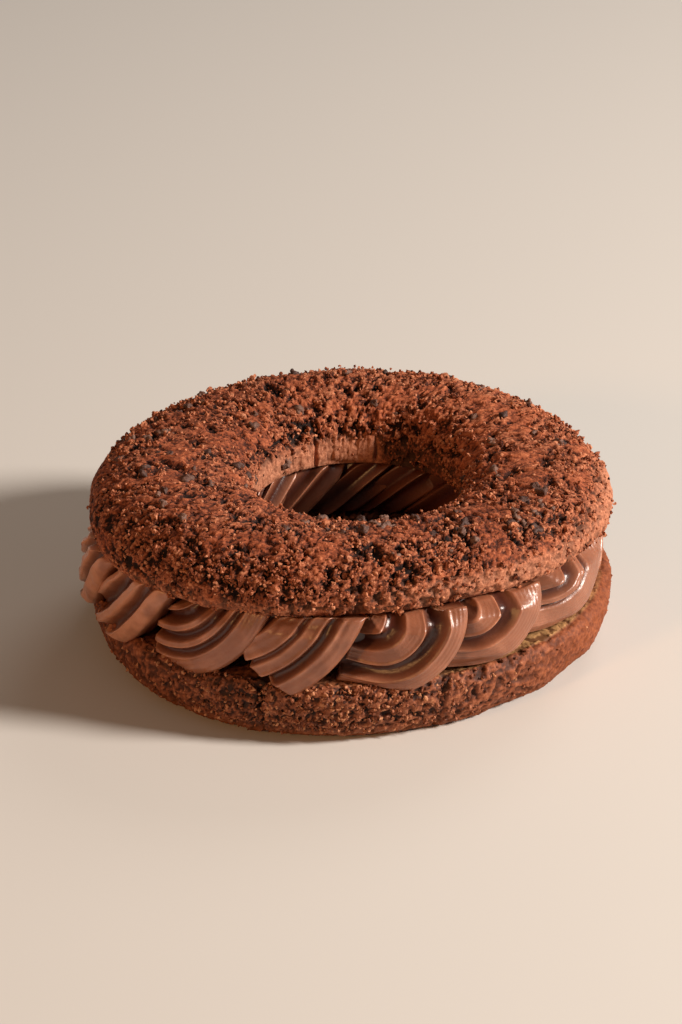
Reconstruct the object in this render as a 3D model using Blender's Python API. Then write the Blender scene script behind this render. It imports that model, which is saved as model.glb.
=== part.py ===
"""A Paris-Brest: a choux ring sliced level, a piped ring of cream and the crusted choux lid.

Metres, +Z up. The pastry stands on z = 0 with the hole of the ring upright, and -Y is its front.
Each of the three pieces is a closed section turned round the Z axis, then shaped by a rule that
gives the place of every point from its radius, its angle round the ring and its height.
"""

import math

import bmesh
import bpy
from mathutils import Euler, Vector

MM = 0.001

# Choux base: the lower part of the baked ring, with a flat foot and a level cut on top.
BASE_BELLY_RADIUS = 48.0 * MM
BASE_BELLY_HEIGHT = 9.4 * MM
BASE_CUT_HEIGHT = 11.4 * MM
BASE_CUT_OUTER_RADIUS = 46.0 * MM
BASE_CUT_INNER_RADIUS = 21.6 * MM
BASE_HOLE_RADIUS = 19.8 * MM
BASE_FOOT_OUTER_RADIUS = 42.8 * MM
BASE_FOOT_INNER_RADIUS = 25.0 * MM

# Choux lid: the upper part of the ring. Heights are above its own flat cut.
LID_BELLY_RADIUS = 47.2 * MM
LID_BELLY_HEIGHT = 3.4 * MM
LID_CUT_OUTER_RADIUS = 44.3 * MM
LID_CREST_RADIUS = 34.6 * MM
LID_CREST_HEIGHT = 12.2 * MM
LID_HOLE_RADIUS = 20.1 * MM
LID_CUT_INNER_RADIUS = 20.8 * MM
LID_SQUARENESS = 2.3               # 2 would make the section's arcs elliptic
LID_CENTRE = Vector((-0.5, -0.3, 23.2)) * MM
LID_TILT = Euler((math.radians(-1.6), math.radians(-0.9), 0.0))

# Cream: one thick band piped round the ring in leaning turns, each with a few star-nozzle flutes.
CREAM_TURNS = 16
CREAM_FLUTES = 4                   # crests on one turn
CREAM_RING_RADIUS = 33.6 * MM
CREAM_HALF_WIDTH = 14.4 * MM
CREAM_HALF_HEIGHT = 8.4 * MM
CREAM_SQUARENESS = 2.5
CREAM_TURN_BULGE = 2.8 * MM        # the middle of a turn stands this far out of the groove beside it
CREAM_TURN_FULLNESS = 0.7          # under 1 makes a turn rounder in front and its groove sharper
CREAM_FLUTE_DEPTH = 0.8 * MM
CREAM_LEAN = 0.36                  # sideways lean of a turn up or down from mid height, in turns
CREAM_SIDE_STEPS = 24              # points round the section
CREAM_FLUTE_STEPS = 2              # steps along the ring on each flute

# The hand-made unevenness of each piece: waves of (lobes round the ring, size, angle of a peak).
BASE_RADIUS_WAVES = ((2, 1.0 * MM, 18.0), (3, 0.7 * MM, 9.0))
LID_RADIUS_WAVES = ((2, 1.0 * MM, 14.0), (3, 1.2 * MM, -10.0))
LID_HOLE_WAVES = ((1, 2.6 * MM, 16.0), (2, 0.7 * MM, 76.0))
LID_HEIGHT_WAVES = ((1, 1.1 * MM, 117.0), (2, 0.8 * MM, 63.0))
CREAM_RADIUS_WAVES = ((1, 0.9 * MM, 190.0), (2, 0.4 * MM, 10.0))

GAP = 0.3 * MM                     # clearance where the cream lies between the two cut faces
RING_STEPS = 64                    # steps round the base and the lid
ARC_STEPS = 3                      # steps on each quarter arc of a section
SMOOTH_ANGLE = math.radians(50.0)

BASE_COLOUR = (0.159, 0.053, 0.025)
LID_COLOUR = (0.177, 0.048, 0.022)
CREAM_COLOUR = (0.250, 0.087, 0.045)
CHOUX_ROUGHNESS = 0.85
CREAM_ROUGHNESS = 0.42


def uneven(angle, waves):
    """Height of a set of waves at an angle round the ring."""
    return sum(size * math.cos(lobes * (angle - math.radians(peak))) for lobes, size, peak in waves)


def rounded(value, squareness):
    """Cosine or sine of a section angle, made fuller for a squarer section."""
    return math.copysign(abs(value) ** (2.0 / squareness), value)


def quarter_arc(centre, reach, start, squareness=2.0):
    """Points of a quarter arc round a centre, from a start angle in degrees, without its first."""
    points = []
    for step in range(1, ARC_STEPS + 1):
        angle = math.radians(start + 90.0 * step / ARC_STEPS)
        radius = centre[0] + reach[0] * rounded(math.cos(angle), squareness)
        height = centre[1] + reach[1] * rounded(math.sin(angle), squareness)
        points.append((radius, height))
    return points


def base_section():
    """Section of the base as (radius, height): foot, outer belly, level cut, wall of the hole."""
    upper = BASE_CUT_HEIGHT - BASE_BELLY_HEIGHT
    outer_lower = quarter_arc(
        (BASE_FOOT_OUTER_RADIUS, BASE_BELLY_HEIGHT),
        (BASE_BELLY_RADIUS - BASE_FOOT_OUTER_RADIUS, BASE_BELLY_HEIGHT), -90.0)
    outer_upper = quarter_arc(
        (BASE_CUT_OUTER_RADIUS, BASE_BELLY_HEIGHT),
        (BASE_BELLY_RADIUS - BASE_CUT_OUTER_RADIUS, upper), 0.0)
    inner_upper = quarter_arc(
        (BASE_CUT_INNER_RADIUS, BASE_BELLY_HEIGHT),
        (BASE_CUT_INNER_RADIUS - BASE_HOLE_RADIUS, upper), 90.0)
    inner_lower = quarter_arc(
        (BASE_FOOT_INNER_RADIUS, BASE_BELLY_HEIGHT),
        (BASE_FOOT_INNER_RADIUS - BASE_HOLE_RADIUS, BASE_BELLY_HEIGHT), 180.0)
    foot = [(BASE_FOOT_OUTER_RADIUS, 0.0)]
    cut = [(BASE_CUT_INNER_RADIUS, BASE_CUT_HEIGHT)]
    return foot + outer_lower + outer_upper + cut + inner_upper + inner_lower


def lid_section():
    """Section of the lid as (radius, height): flat cut, rolled outer rim, crest, wall of the hole."""
    rise = LID_CREST_HEIGHT - LID_BELLY_HEIGHT
    outer_lower = quarter_arc(
        (LID_CUT_OUTER_RADIUS, LID_BELLY_HEIGHT),
        (LID_BELLY_RADIUS - LID_CUT_OUTER_RADIUS, LID_BELLY_HEIGHT), -90.0)
    outer_upper = quarter_arc(
        (LID_CREST_RADIUS, LID_BELLY_HEIGHT),
        (LID_BELLY_RADIUS - LID_CREST_RADIUS, rise), 0.0, LID_SQUARENESS)
    inner_upper = quarter_arc(
        (LID_CREST_RADIUS, LID_BELLY_HEIGHT),
        (LID_CREST_RADIUS - LID_HOLE_RADIUS, rise), 90.0, LID_SQUARENESS)
    inner_lower = quarter_arc(
        (LID_CUT_INNER_RADIUS, LID_BELLY_HEIGHT),
        (LID_CUT_INNER_RADIUS - LID_HOLE_RADIUS, LID_BELLY_HEIGHT), 180.0)
    cut = [(LID_CUT_OUTER_RADIUS, 0.0)]
    return cut + outer_lower + outer_upper + inner_upper + inner_lower


def cream_section():
    """Plain oval section of the cream band, before its turns and flutes are shaped."""
    points = []
    for step in range(CREAM_SIDE_STEPS):
        side = 2.0 * math.pi * step / CREAM_SIDE_STEPS
        radius = CREAM_RING_RADIUS + CREAM_HALF_WIDTH * math.cos(side)
        points.append((radius, CREAM_HALF_HEIGHT * math.sin(side)))
    return points


def turned(section, steps):
    """A closed section turned once round the Z axis."""
    ring = bmesh.new()
    corners = [ring.verts.new((radius, 0.0, height)) for radius, height in section]
    sides = [ring.edges.new(pair) for pair in zip(corners, corners[1:] + corners[:1])]
    bmesh.ops.spin(
        ring, geom=corners + sides, cent=(0.0, 0.0, 0.0), axis=(0.0, 0.0, 1.0),
        angle=2.0 * math.pi, steps=steps, use_merge=True)
    return ring


def shape_ring(ring, rule):
    """Move every point to where the rule puts its radius, angle and height."""
    for point in ring.verts:
        radius = math.hypot(point.co.x, point.co.y)
        angle = math.atan2(point.co.y, point.co.x)
        point.co = rule(radius, angle, point.co.z)


def polar(radius, angle, height):
    """Point at a radius and angle round the Z axis."""
    return Vector((radius * math.cos(angle), radius * math.sin(angle), height))


def place_base(radius, angle, height):
    """Base: the wall swells in and out, and the foot and the cut stay level."""
    share = radius / BASE_BELLY_RADIUS
    return polar(radius + share * uneven(angle, BASE_RADIUS_WAVES), angle, height)


def place_lid(radius, angle, height):
    """Lid: uneven outline, hole and crest, leaned back on its flat cut."""
    share = (radius - LID_HOLE_RADIUS) / (LID_BELLY_RADIUS - LID_HOLE_RADIUS)
    swell = share * uneven(angle, LID_RADIUS_WAVES) + (1.0 - share) * uneven(angle, LID_HOLE_WAVES)
    rise = 1.0 + uneven(angle, LID_HEIGHT_WAVES) / LID_CREST_HEIGHT
    point = polar(radius + swell, angle, height * rise)
    point.rotate(LID_TILT)
    return point + LID_CENTRE


def lid_cut_height(x, y):
    """Height of the lid's flat cut above a point of the floor."""
    normal = Vector((0.0, 0.0, 1.0))
    normal.rotate(LID_TILT)
    slope = normal.x * (x - LID_CENTRE.x) + normal.y * (y - LID_CENTRE.y)
    return LID_CENTRE.z - slope / normal.z


def place_cream(radius, angle, height):
    """Cream: leaning turns with flutes, pressed flat against the two cut faces."""
    side = math.atan2(height / CREAM_HALF_HEIGHT, (radius - CREAM_RING_RADIUS) / CREAM_HALF_WIDTH)
    turn = CREAM_TURNS * angle / (2.0 * math.pi) % 1.0
    relief = CREAM_TURN_BULGE * math.sin(math.pi * turn) ** CREAM_TURN_FULLNESS
    relief -= CREAM_FLUTE_DEPTH * abs(math.cos(CREAM_FLUTES * math.pi * turn))
    width = CREAM_HALF_WIDTH - CREAM_TURN_BULGE + relief
    tall = CREAM_HALF_HEIGHT + relief
    lean = CREAM_LEAN * math.sin(2.0 * side) * 2.0 * math.pi / CREAM_TURNS
    reach = CREAM_RING_RADIUS + width * rounded(math.cos(side), CREAM_SQUARENESS)
    reach += uneven(angle, CREAM_RADIUS_WAVES) * reach / CREAM_RING_RADIUS
    point = polar(reach, angle + lean, 0.0)
    floor = BASE_CUT_HEIGHT + GAP
    ceiling = lid_cut_height(point.x, point.y) - GAP
    middle = 0.5 * (floor + ceiling)
    level = middle + tall * rounded(math.sin(side), CREAM_SQUARENESS)
    point.z = min(max(level, floor), ceiling)
    return point


def baked_material(name, colour, roughness):
    """Plain material of one colour."""
    material = bpy.data.materials.new(name)
    material.use_nodes = True
    shader = material.node_tree.nodes["Principled BSDF"]
    shader.inputs["Base Color"].default_value = (*colour, 1.0)
    shader.inputs["Roughness"].default_value = roughness
    shader.inputs["Metallic"].default_value = 0.0
    return material


def piece(name, ring, material):
    """Named object made of a shaped ring, with its faces outward and shaded smooth."""
    bmesh.ops.recalc_face_normals(ring, faces=ring.faces)
    mesh = bpy.data.meshes.new(name)
    ring.to_mesh(mesh)
    ring.free()
    mesh.materials.append(material)
    mesh.shade_smooth()
    mesh.set_sharp_from_angle(angle=SMOOTH_ANGLE)
    made = bpy.data.objects.new(name, mesh)
    bpy.context.scene.collection.objects.link(made)
    return made


def choux_base():
    ring = turned(base_section(), RING_STEPS)
    shape_ring(ring, place_base)
    return piece("choux_base", ring, baked_material("baked choux", BASE_COLOUR, CHOUX_ROUGHNESS))


def cream_filling():
    columns = CREAM_TURNS * CREAM_FLUTES * CREAM_FLUTE_STEPS
    ring = turned(cream_section(), columns)
    shape_ring(ring, place_cream)
    return piece("cream_filling", ring, baked_material("praline cream", CREAM_COLOUR, CREAM_ROUGHNESS))


def choux_lid():
    ring = turned(lid_section(), RING_STEPS)
    shape_ring(ring, place_lid)
    return piece("choux_lid", ring, baked_material("cocoa crust", LID_COLOUR, CHOUX_ROUGHNESS))


def centre_over_origin(pieces):
    """Move the pieces together sideways until the box round them is centred on the Z axis."""
    points = [vertex.co for made in pieces for vertex in made.data.vertices]
    middle_x = 0.5 * (min(point.x for point in points) + max(point.x for point in points))
    middle_y = 0.5 * (min(point.y for point in points) + max(point.y for point in points))
    for made in pieces:
        made.location = (-middle_x, -middle_y, 0.0)


def clear_scene():
    for old in list(bpy.data.objects):
        bpy.data.objects.remove(old, do_unlink=True)


clear_scene()
centre_over_origin([choux_base(), cream_filling(), choux_lid()])
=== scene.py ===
"""Looks of a Paris-Brest: crusted choux lid, piped chocolate praline cream and baked choux base.

Lengths are worked out in millimetres and become metres when a mesh is placed.
Angles go round the ring from +X towards +Y, so the front of the pastry is at -90 degrees.
"""

import math
import random

import bmesh
import bpy
import numpy as np
from mathutils import Euler, Matrix, Vector, noise


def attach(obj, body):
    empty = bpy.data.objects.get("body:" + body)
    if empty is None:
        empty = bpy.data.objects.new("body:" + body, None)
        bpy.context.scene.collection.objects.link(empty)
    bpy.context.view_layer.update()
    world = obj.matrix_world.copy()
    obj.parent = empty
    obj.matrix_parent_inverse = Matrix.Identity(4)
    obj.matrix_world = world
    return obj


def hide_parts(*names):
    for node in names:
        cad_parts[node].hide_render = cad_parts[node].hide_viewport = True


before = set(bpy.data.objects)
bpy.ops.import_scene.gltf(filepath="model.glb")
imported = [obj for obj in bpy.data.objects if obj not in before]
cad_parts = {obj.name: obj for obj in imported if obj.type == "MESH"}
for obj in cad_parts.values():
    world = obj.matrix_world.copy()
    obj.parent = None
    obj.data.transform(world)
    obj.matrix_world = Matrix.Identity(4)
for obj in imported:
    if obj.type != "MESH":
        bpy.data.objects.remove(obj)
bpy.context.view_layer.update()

MM = 0.001
SEED = 20
noise.seed_set(SEED)  # noise_vector would otherwise follow the clock
LEVEL = 0.996  # least upward share of the normal of a face that counts as flat
BARE_RADIUS = 3.0  # of a bare ring round its axis; its section's radius is 1
WELD = 1e-4  # points closer than this on a bare ring are one

# ---------- sizes taken from the frame


def corners_of(node):
    """Corners of a CAD node, in millimetres."""
    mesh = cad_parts[node].data
    flat = np.empty(len(mesh.vertices) * 3)
    mesh.vertices.foreach_get("co", flat)
    return flat.reshape(-1, 3) / MM


def cut_plane(node, facing):
    """Middle and unit normal of the flat cut of a CAD node that faces up (1) or down (-1)."""
    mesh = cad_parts[node].data
    cut = [face for face in mesh.polygons if face.normal.z * facing > LEVEL]
    area = sum(face.area for face in cut)
    middle = sum((face.center * face.area for face in cut), Vector()) / area / MM
    normal = sum((face.normal * face.area for face in cut), Vector()).normalized()
    return middle, normal * facing


AXIS = corners_of("choux_base").mean(axis=0)  # the ring's own axis
BASE_TOP = max(corner[2] for corner in corners_of("choux_base"))
LID_MIDDLE, LID_NORMAL = cut_plane("choux_lid", -1)
LID_TURN = Vector((0.0, 0.0, 1.0)).rotation_difference(LID_NORMAL)


def lid_cut_height(x, y):
    """Height of the lid's flat cut above a point, measured from the ring's axis."""
    across = LID_NORMAL.x * (x + AXIS[0] - LID_MIDDLE.x)
    along = LID_NORMAL.y * (y + AXIS[1] - LID_MIDDLE.y)
    return LID_MIDDLE.z - (across + along) / LID_NORMAL.z


# ---------- shaping helpers


def smooth(low, high, value):
    """0 below low, 1 above high and an even slope between."""
    share = np.clip((value - low) / (high - low), 0.0, 1.0)
    return share * share * (3.0 - 2.0 * share)


def near(angle, centre, width):
    """1 at an angle round the ring, in degrees, fading to 0 beyond a width."""
    away = (np.degrees(angle) - centre + 180.0) % 360.0 - 180.0
    return np.exp(-(away / width) ** 2)


def between(rise, fall, value):
    """1 between two fades, each (from, to), and 0 outside them."""
    return smooth(*rise, value) * (1.0 - smooth(*fall, value))


def fades(angle, places):
    """Sum of values that fade out round places on the ring, each (angle, width, value)."""
    return sum(value * near(angle, centre, width) for centre, width, value in places)


def region(angle, share, centre, width, rise=None, fall=None, strength=1.0):
    """Strength of a region of skin round an angle, which fades in and out along the section."""
    inside = near(angle, centre, width)
    if rise:
        inside = inside * smooth(*rise, share)
    if fall:
        inside = inside * (1.0 - smooth(*fall, share))
    return strength * inside


def uneven(angle, waves):
    """Waves round the ring, each (lobes, size, angle of a peak in degrees)."""
    return sum(size * np.cos(lobes * (angle - math.radians(peak))) for lobes, size, peak in waves)


def rounded(value, squareness):
    """Cosine or sine of a section angle, made fuller for a squarer section."""
    return np.sign(value) * np.abs(value) ** (2.0 / squareness)


def lumps(points, size, octaves=1, shift=0.0):
    """Soft lumps about -1 to 1 high, of a size in millimetres. A shift picks another pattern."""
    if octaves == 1:
        return np.array([noise.noise((x / size + shift, y / size, z / size)) for x, y, z in points])
    return np.array([
        noise.fractal((x / size + shift, y / size, z / size), 1.0, 2.0, octaves)
        for x, y, z in points])


def warped(points, size, strength):
    """Points pushed about at random, so that what is laid out on them loses its even look."""
    push = np.array([noise.noise_vector((x / size, y / size, z / size)) for x, y, z in points])
    return points + strength * push


def rolled_grid(along, across, roll):
    """A grid of quads whose points a rule rolls up from their shares of its two sides."""
    grid = bmesh.new()
    bmesh.ops.create_grid(grid, x_segments=along, y_segments=across, size=0.5)
    for point in grid.verts:
        point.co = roll(point.co.x + 0.5, point.co.y + 0.5)
    bmesh.ops.remove_doubles(grid, verts=grid.verts, dist=WELD)
    return grid


def around_tube(turn, side):
    """Point of a unit tube bent round the Z axis; both angles are in radians."""
    radius = BARE_RADIUS + math.cos(side)
    return radius * math.cos(turn), radius * math.sin(turn), math.sin(side)


def bare_ring(around, across):
    """A closed ring of quads whose section is a unit circle."""
    full = 2.0 * math.pi
    ring = rolled_grid(around, across, lambda along, side: around_tube(full * along, full * side))
    bmesh.ops.recalc_face_normals(ring, faces=ring.faces)
    return ring


def bare_rope(rows, around):
    """Half a bare ring, with closed ends."""
    full = 2.0 * math.pi
    rope = rolled_grid(rows, around, lambda along, side: around_tube(0.5 * full * along, full * side))
    bmesh.ops.holes_fill(rope, edges=[edge for edge in rope.edges if edge.is_boundary], sides=0)
    bmesh.ops.recalc_face_normals(rope, faces=rope.faces)
    return rope


def points_of(mesh):
    """Points of a mesh as an array."""
    flat = np.empty(len(mesh.vertices) * 3)
    mesh.vertices.foreach_get("co", flat)
    return flat.reshape(-1, 3)


def put_points(mesh, points):
    """Write an array of points back to its mesh."""
    mesh.vertices.foreach_set("co", points.ravel())
    mesh.update()


def normals_of(mesh):
    """Normals at the points of a mesh as an array."""
    flat = np.empty(len(mesh.vertices) * 3)
    mesh.vertex_normals.foreach_get("vector", flat)
    return flat.reshape(-1, 3)


def ring_places(points):
    """Angle round the ring and share of the way round the section of a bare ring's points."""
    angle = np.arctan2(points[:, 1], points[:, 0])
    radius = np.hypot(points[:, 0], points[:, 1])
    share = np.arctan2(points[:, 2], radius - BARE_RADIUS) / (2.0 * math.pi)
    return angle, np.where(share < -1e-6, share + 1.0, np.maximum(share, 0.0))


def polar(radius, angle, height):
    """Points from their radius, angle and height about the ring's axis."""
    return np.stack([radius * np.cos(angle), radius * np.sin(angle), height], axis=-1)


def mesh_from(built, name):
    """Mesh of what was built, which is then let go."""
    mesh = bpy.data.meshes.new(name)
    built.to_mesh(mesh)
    built.free()
    return mesh


def paint(mesh, name, values):
    """Keep one number per point for a material to read."""
    layer = mesh.attributes.new(name, "FLOAT", "POINT")
    layer.data.foreach_set("value", values.astype(np.float32))


def put_in_scene(thing):
    bpy.context.scene.collection.objects.link(thing)


def make_piece(mesh, name, material, slot, *replaced, facets=False):
    """Object for a finished mesh in millimetres about the ring's axis."""
    points = (points_of(mesh) + np.array([AXIS[0], AXIS[1], 0.0])) * MM
    put_points(mesh, points)
    mesh.materials.append(material)
    if not facets:
        mesh.shade_smooth()
    piece = bpy.data.objects.new(name, mesh)
    put_in_scene(piece)
    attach(piece, "root")
    for node in replaced:
        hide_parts(node)
    return piece


# ---------- materials


def linear(text):
    """Linear colour with alpha from an sRGB hex value."""
    parts = [int(text[place:place + 2], 16) / 255.0 for place in (1, 3, 5)]
    return tuple(
        part / 12.92 if part <= 0.04045 else ((part + 0.055) / 1.055) ** 2.4 for part in parts) + (1.0,)


def add(tree, kind, inputs=None, stops=(), **settings):
    """Add a shader node. Inputs are values or the sockets that feed them; stops fill a ramp."""
    made = tree.nodes.new("ShaderNode" + kind)
    for name, value in settings.items():
        setattr(made, name, value)
    for name, value in (inputs or {}).items():
        if isinstance(value, bpy.types.NodeSocket):
            tree.links.new(value, made.inputs[name])
        else:
            made.inputs[name].default_value = value
    for place, (position, colour) in enumerate(stops):
        ramp_stops = made.color_ramp.elements
        stop = ramp_stops[place] if place < 2 else ramp_stops.new(position)
        stop.position = position
        stop.color = linear(colour)
    return made


def new_material(name):
    """Material with a Principled shader, and its node tree and shader."""
    material = bpy.data.materials.new(name)
    material.use_nodes = True
    tree = material.node_tree
    return material, tree, tree.nodes["Principled BSDF"]


def per_mm(size):
    """Texture scale, in object coordinates, whose features are a size in millimetres."""
    return 1.0 / (size * MM)


def object_place(tree):
    """Where a point lies on its object, in metres."""
    return add(tree, "TexCoord").outputs["Object"]


def painted(tree, name):
    """The number that paint() kept at each point under a name."""
    return add(tree, "Attribute", attribute_name=name).outputs["Fac"]


def cloud(tree, size, detail, roughness=0.5):
    """Noise from 0 to 1 whose largest features are a size in millimetres."""
    inputs = {
        "Vector": object_place(tree), "Scale": per_mm(size), "Detail": detail, "Roughness": roughness}
    return add(tree, "TexNoise", inputs).outputs["Fac"]


def spread_out(tree, cloudy, low, high):
    """Noise with its middle part, 0.3 to 0.7, stretched from low to high."""
    inputs = {"Value": cloudy, "From Min": 0.3, "From Max": 0.7, "To Min": low, "To Max": high}
    return add(tree, "MapRange", inputs).outputs["Result"]


def worked_out(tree, operation, first, second):
    """Sum or product of two values."""
    return add(tree, "Math", {0: first, 1: second}, operation=operation).outputs[0]


def ramp(tree, value, *stops):
    """Colour for a value. The first stop is the lowest, the second the highest, the rest between."""
    return add(tree, "ValToRGB", {"Fac": value}, stops=stops).outputs["Color"]


def laid_over(tree, share, below, above, **settings):
    """A share of one colour laid over another."""
    inputs = {"Fac": share, "Color1": below, "Color2": above}
    return add(tree, "MixRGB", inputs, **settings).outputs["Color"]


def give_surface(tree, shader, colour, height, strength, depth, roughness, specular=0.5):
    """Feed a shader its colour and fine bumps, their depth in millimetres, and set its gloss."""
    bump = add(tree, "Bump", {"Height": height, "Strength": strength, "Distance": depth * MM})
    tree.links.new(colour, shader.inputs["Base Color"])
    tree.links.new(bump.outputs["Normal"], shader.inputs["Normal"])
    shader.inputs["Roughness"].default_value = roughness
    shader.inputs["Specular IOR Level"].default_value = specular


def craquelin_crust():
    """Baked sugar-and-cocoa crust dusted with cocoa: dry, matt and gritty, with painted shade dark in
    every pit.
    """
    material, tree, shader = new_material("cocoa craquelin crust")
    grit = cloud(tree, 0.55, 3.0, 0.65)
    tone = worked_out(tree, "ADD", painted(tree, "relief"), spread_out(tree, grit, -0.34, 0.34))
    # Its darkest stops carry the painted shade of pits, pores, cracks and the crease.
    colour = ramp(
        tree, tone, (0.12, "#1c0a04"), (1.0, "#d79671"), (0.34, "#4b2211"), (0.53, "#884a2e"),
        (0.74, "#b16a48"))
    grains = add(tree, "TexVoronoi", {"Vector": object_place(tree), "Scale": per_mm(0.75)})
    grain = add(tree, "SeparateColor", {"Color": grains.outputs["Color"]}).outputs["Red"]
    bloom = ramp(tree, grain, (0.0, "#a08e88"), (1.0, "#ffdcc0"), (0.25, "#c9aca0"), (0.55, "#ffffff"))
    dust = laid_over(tree, cloud(tree, 6.0, 2.0), linear("#b89a8a"), bloom)
    dusted = laid_over(tree, 0.62, colour, dust, blend_type="MULTIPLY")
    rust = ramp(tree, tone, (0.2, "#3f180a"), (0.95, "#b9653d"), (0.6, "#90482a"))
    cover = worked_out(tree, "MULTIPLY", painted(tree, "dusty"), 0.7)
    powdered = laid_over(tree, cover, dusted, rust)
    smooth_skin = ramp(tree, grit, (0.3, "#8b5037"), (0.7, "#ce8d6c"))
    mixed = laid_over(tree, painted(tree, "calm"), powdered, smooth_skin)
    give_surface(tree, shader, mixed, grit, strength=0.5, depth=0.25, roughness=0.82, specular=0.28)
    return material


def baked_choux():
    """Oven-browned choux skin: finely porous, a little satin where it is smooth, crumb at the cut."""
    material, tree, shader = new_material("oven-browned choux")
    grit = cloud(tree, 0.7, 4.0, 0.6)
    tone = worked_out(tree, "ADD", painted(tree, "relief"), spread_out(tree, grit, -0.2, 0.2))
    # Its darkest stops carry the painted shade of pits, pores and cracks.
    colour = ramp(
        tree, tone, (0.1, "#160702"), (1.0, "#be845d"), (0.32, "#3d1b0c"), (0.54, "#713c23"),
        (0.76, "#98593a"))
    skin = ramp(tree, grit, (0.3, "#6c2f13"), (0.7, "#9a5127"))
    browned = laid_over(tree, painted(tree, "calm"), colour, skin)
    rim = laid_over(tree, painted(tree, "darker"), browned, linear("#7c3f19"))
    inside = ramp(tree, tone, (0.2, "#6a4324"), (0.75, "#c1935f"))
    cut = laid_over(tree, painted(tree, "crumb"), rim, inside)
    give_surface(tree, shader, cut, grit, strength=0.4, depth=0.2, roughness=0.7, specular=0.35)
    return material


def praline_cream():
    """Whipped chocolate praline cream: dense and satin, soft light inside, sheen on its crests from its
    gloss and from a painted highlight, with painted shade in its valleys.
    """
    material, tree, shader = new_material("whipped praline cream")
    cloudy = spread_out(tree, cloud(tree, 4.0, 2.0), 0.4, 0.6)
    tone = worked_out(tree, "MULTIPLY", painted(tree, "relief"), cloudy)
    # The low end is the painted shade of valleys, grooves and the core; the high end is the painted
    # highlight of crests and lips.
    colour = ramp(tree, tone, (0.0, "#43190a"), (0.72, "#bd8062"), (0.5, "#935c42"))
    fine = cloud(tree, 0.55, 3.0, 0.6)
    give_surface(tree, shader, colour, fine, strength=0.45, depth=0.15, roughness=0.35, specular=0.72)
    shader.inputs["IOR"].default_value = 1.46
    shader.inputs["Subsurface Weight"].default_value = 0.15
    shader.inputs["Subsurface Radius"].default_value = (1.0, 0.45, 0.25)
    shader.inputs["Subsurface Scale"].default_value = 1.0 * MM
    return material


def cocoa_nib():
    """Dark cocoa lumps with a grey bloom: dull, cracked and rough."""
    material, tree, shader = new_material("roasted cocoa lump")
    grit = cloud(tree, 0.5, 4.0, 0.7)
    own_tone = worked_out(tree, "MULTIPLY", painted(tree, "relief"), 0.35)
    level = worked_out(tree, "ADD", own_tone, grit)
    colour = ramp(tree, level, (0.35, "#22100a"), (0.95, "#84604f"), (0.6, "#4c2b1e"))
    give_surface(tree, shader, colour, grit, strength=0.6, depth=0.25, roughness=0.65)
    return material


def studio_paper():
    """Matt off-white paper, so that it only carries the shadow."""
    material, _, shader = new_material("studio paper")
    shader.inputs["Base Color"].default_value = linear("#d2cec8")
    shader.inputs["Roughness"].default_value = 0.9
    return material


# ---------- shared by the lid and the base


class Feature:
    """One kind of relief in a baked crust: bumps, or hollows where an edge is given."""

    def __init__(self, size, height, shade=0.0, edge=None, filled=0.0):
        self.size = size  # across, in millimetres
        self.height = height  # out of the crust, or into it for a hollow, in millimetres
        # For a hollow this darkening is painted shade.
        self.shade = shade  # how much paler it is, or darker for a hollow
        self.edge = edge  # levels of the noise between which a hollow opens
        self.filled = filled  # share of a hollow that cocoa dust fills

    def opened(self, level, dusty=0.0):
        """1 inside the hollows and 0 outside them."""
        return smooth(*self.edge, level) * (1.0 - self.filled * dusty)


def arc_section(share, knots, pieces):
    """Radius and height along a section whose pieces are functions of a share of their length."""
    radius = np.zeros_like(share)
    height = np.zeros_like(share)
    for low, high, piece in zip(knots, knots[1:], pieces):
        inside = (share >= low) & (share < high)
        part = (share[inside] - low) / (high - low)
        radius[inside], height[inside] = piece(part)
    return radius, height


def quarter(centre, middle, edge, reach, start, squareness=2.0):
    """Piece of a section: a quarter arc from a start angle, out to an edge and up or down a reach."""
    def piece(part):
        angle = np.radians(start + 90.0 * part)
        radius = centre + abs(edge - centre) * rounded(np.cos(angle), squareness)
        return radius, middle + reach * rounded(np.sin(angle), squareness)
    return piece


def straight(first, last, crowd=1.0):
    """Piece of a section: a straight line, its points crowded towards its first end above 1."""
    def piece(part):
        part = part ** crowd
        return first[0] + (last[0] - first[0]) * part, first[1] + (last[1] - first[1]) * part
    return piece


def away_from(path, points):
    """Distance in plan from points to a path of corners, each (angle in degrees, radius)."""
    corners = [polar(radius, math.radians(angle), 0.0)[:2] for angle, radius in path]
    nearest = np.full(len(points), np.inf)
    for first, last in zip(corners, corners[1:]):
        run = last - first
        share = np.clip((points[:, :2] - first) @ run / (run @ run), 0.0, 1.0)
        beside = points[:, :2] - first - share[:, None] * run
        nearest = np.minimum(nearest, np.hypot(beside[:, 0], beside[:, 1]))
    return nearest


# ---------- choux lid

LID_GRID = (860, 108)  # points round it and round its section
LID_BELLY_RADIUS = 47.2
LID_BELLY_HEIGHT = 3.4
LID_CUT_OUTSIDE = 44.3
LID_CREST_RADIUS = 34.6
LID_CREST_HEIGHT = 12.2
LID_HOLE_RADIUS = 20.1
LID_CUT_INSIDE = 20.8
LID_SQUARENESS = 2.3
LID_RADIUS_WAVES = ((2, 1.0, 14.0), (3, 1.2, -10.0))
LID_HOLE_WAVES = ((1, 2.6, 16.0), (2, 0.7, 76.0))
LID_HEIGHT_WAVES = ((1, 1.1, 117.0), (2, 0.8, 63.0))
CREST_LENGTH = 34.0  # length along the crest for each radian

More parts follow.
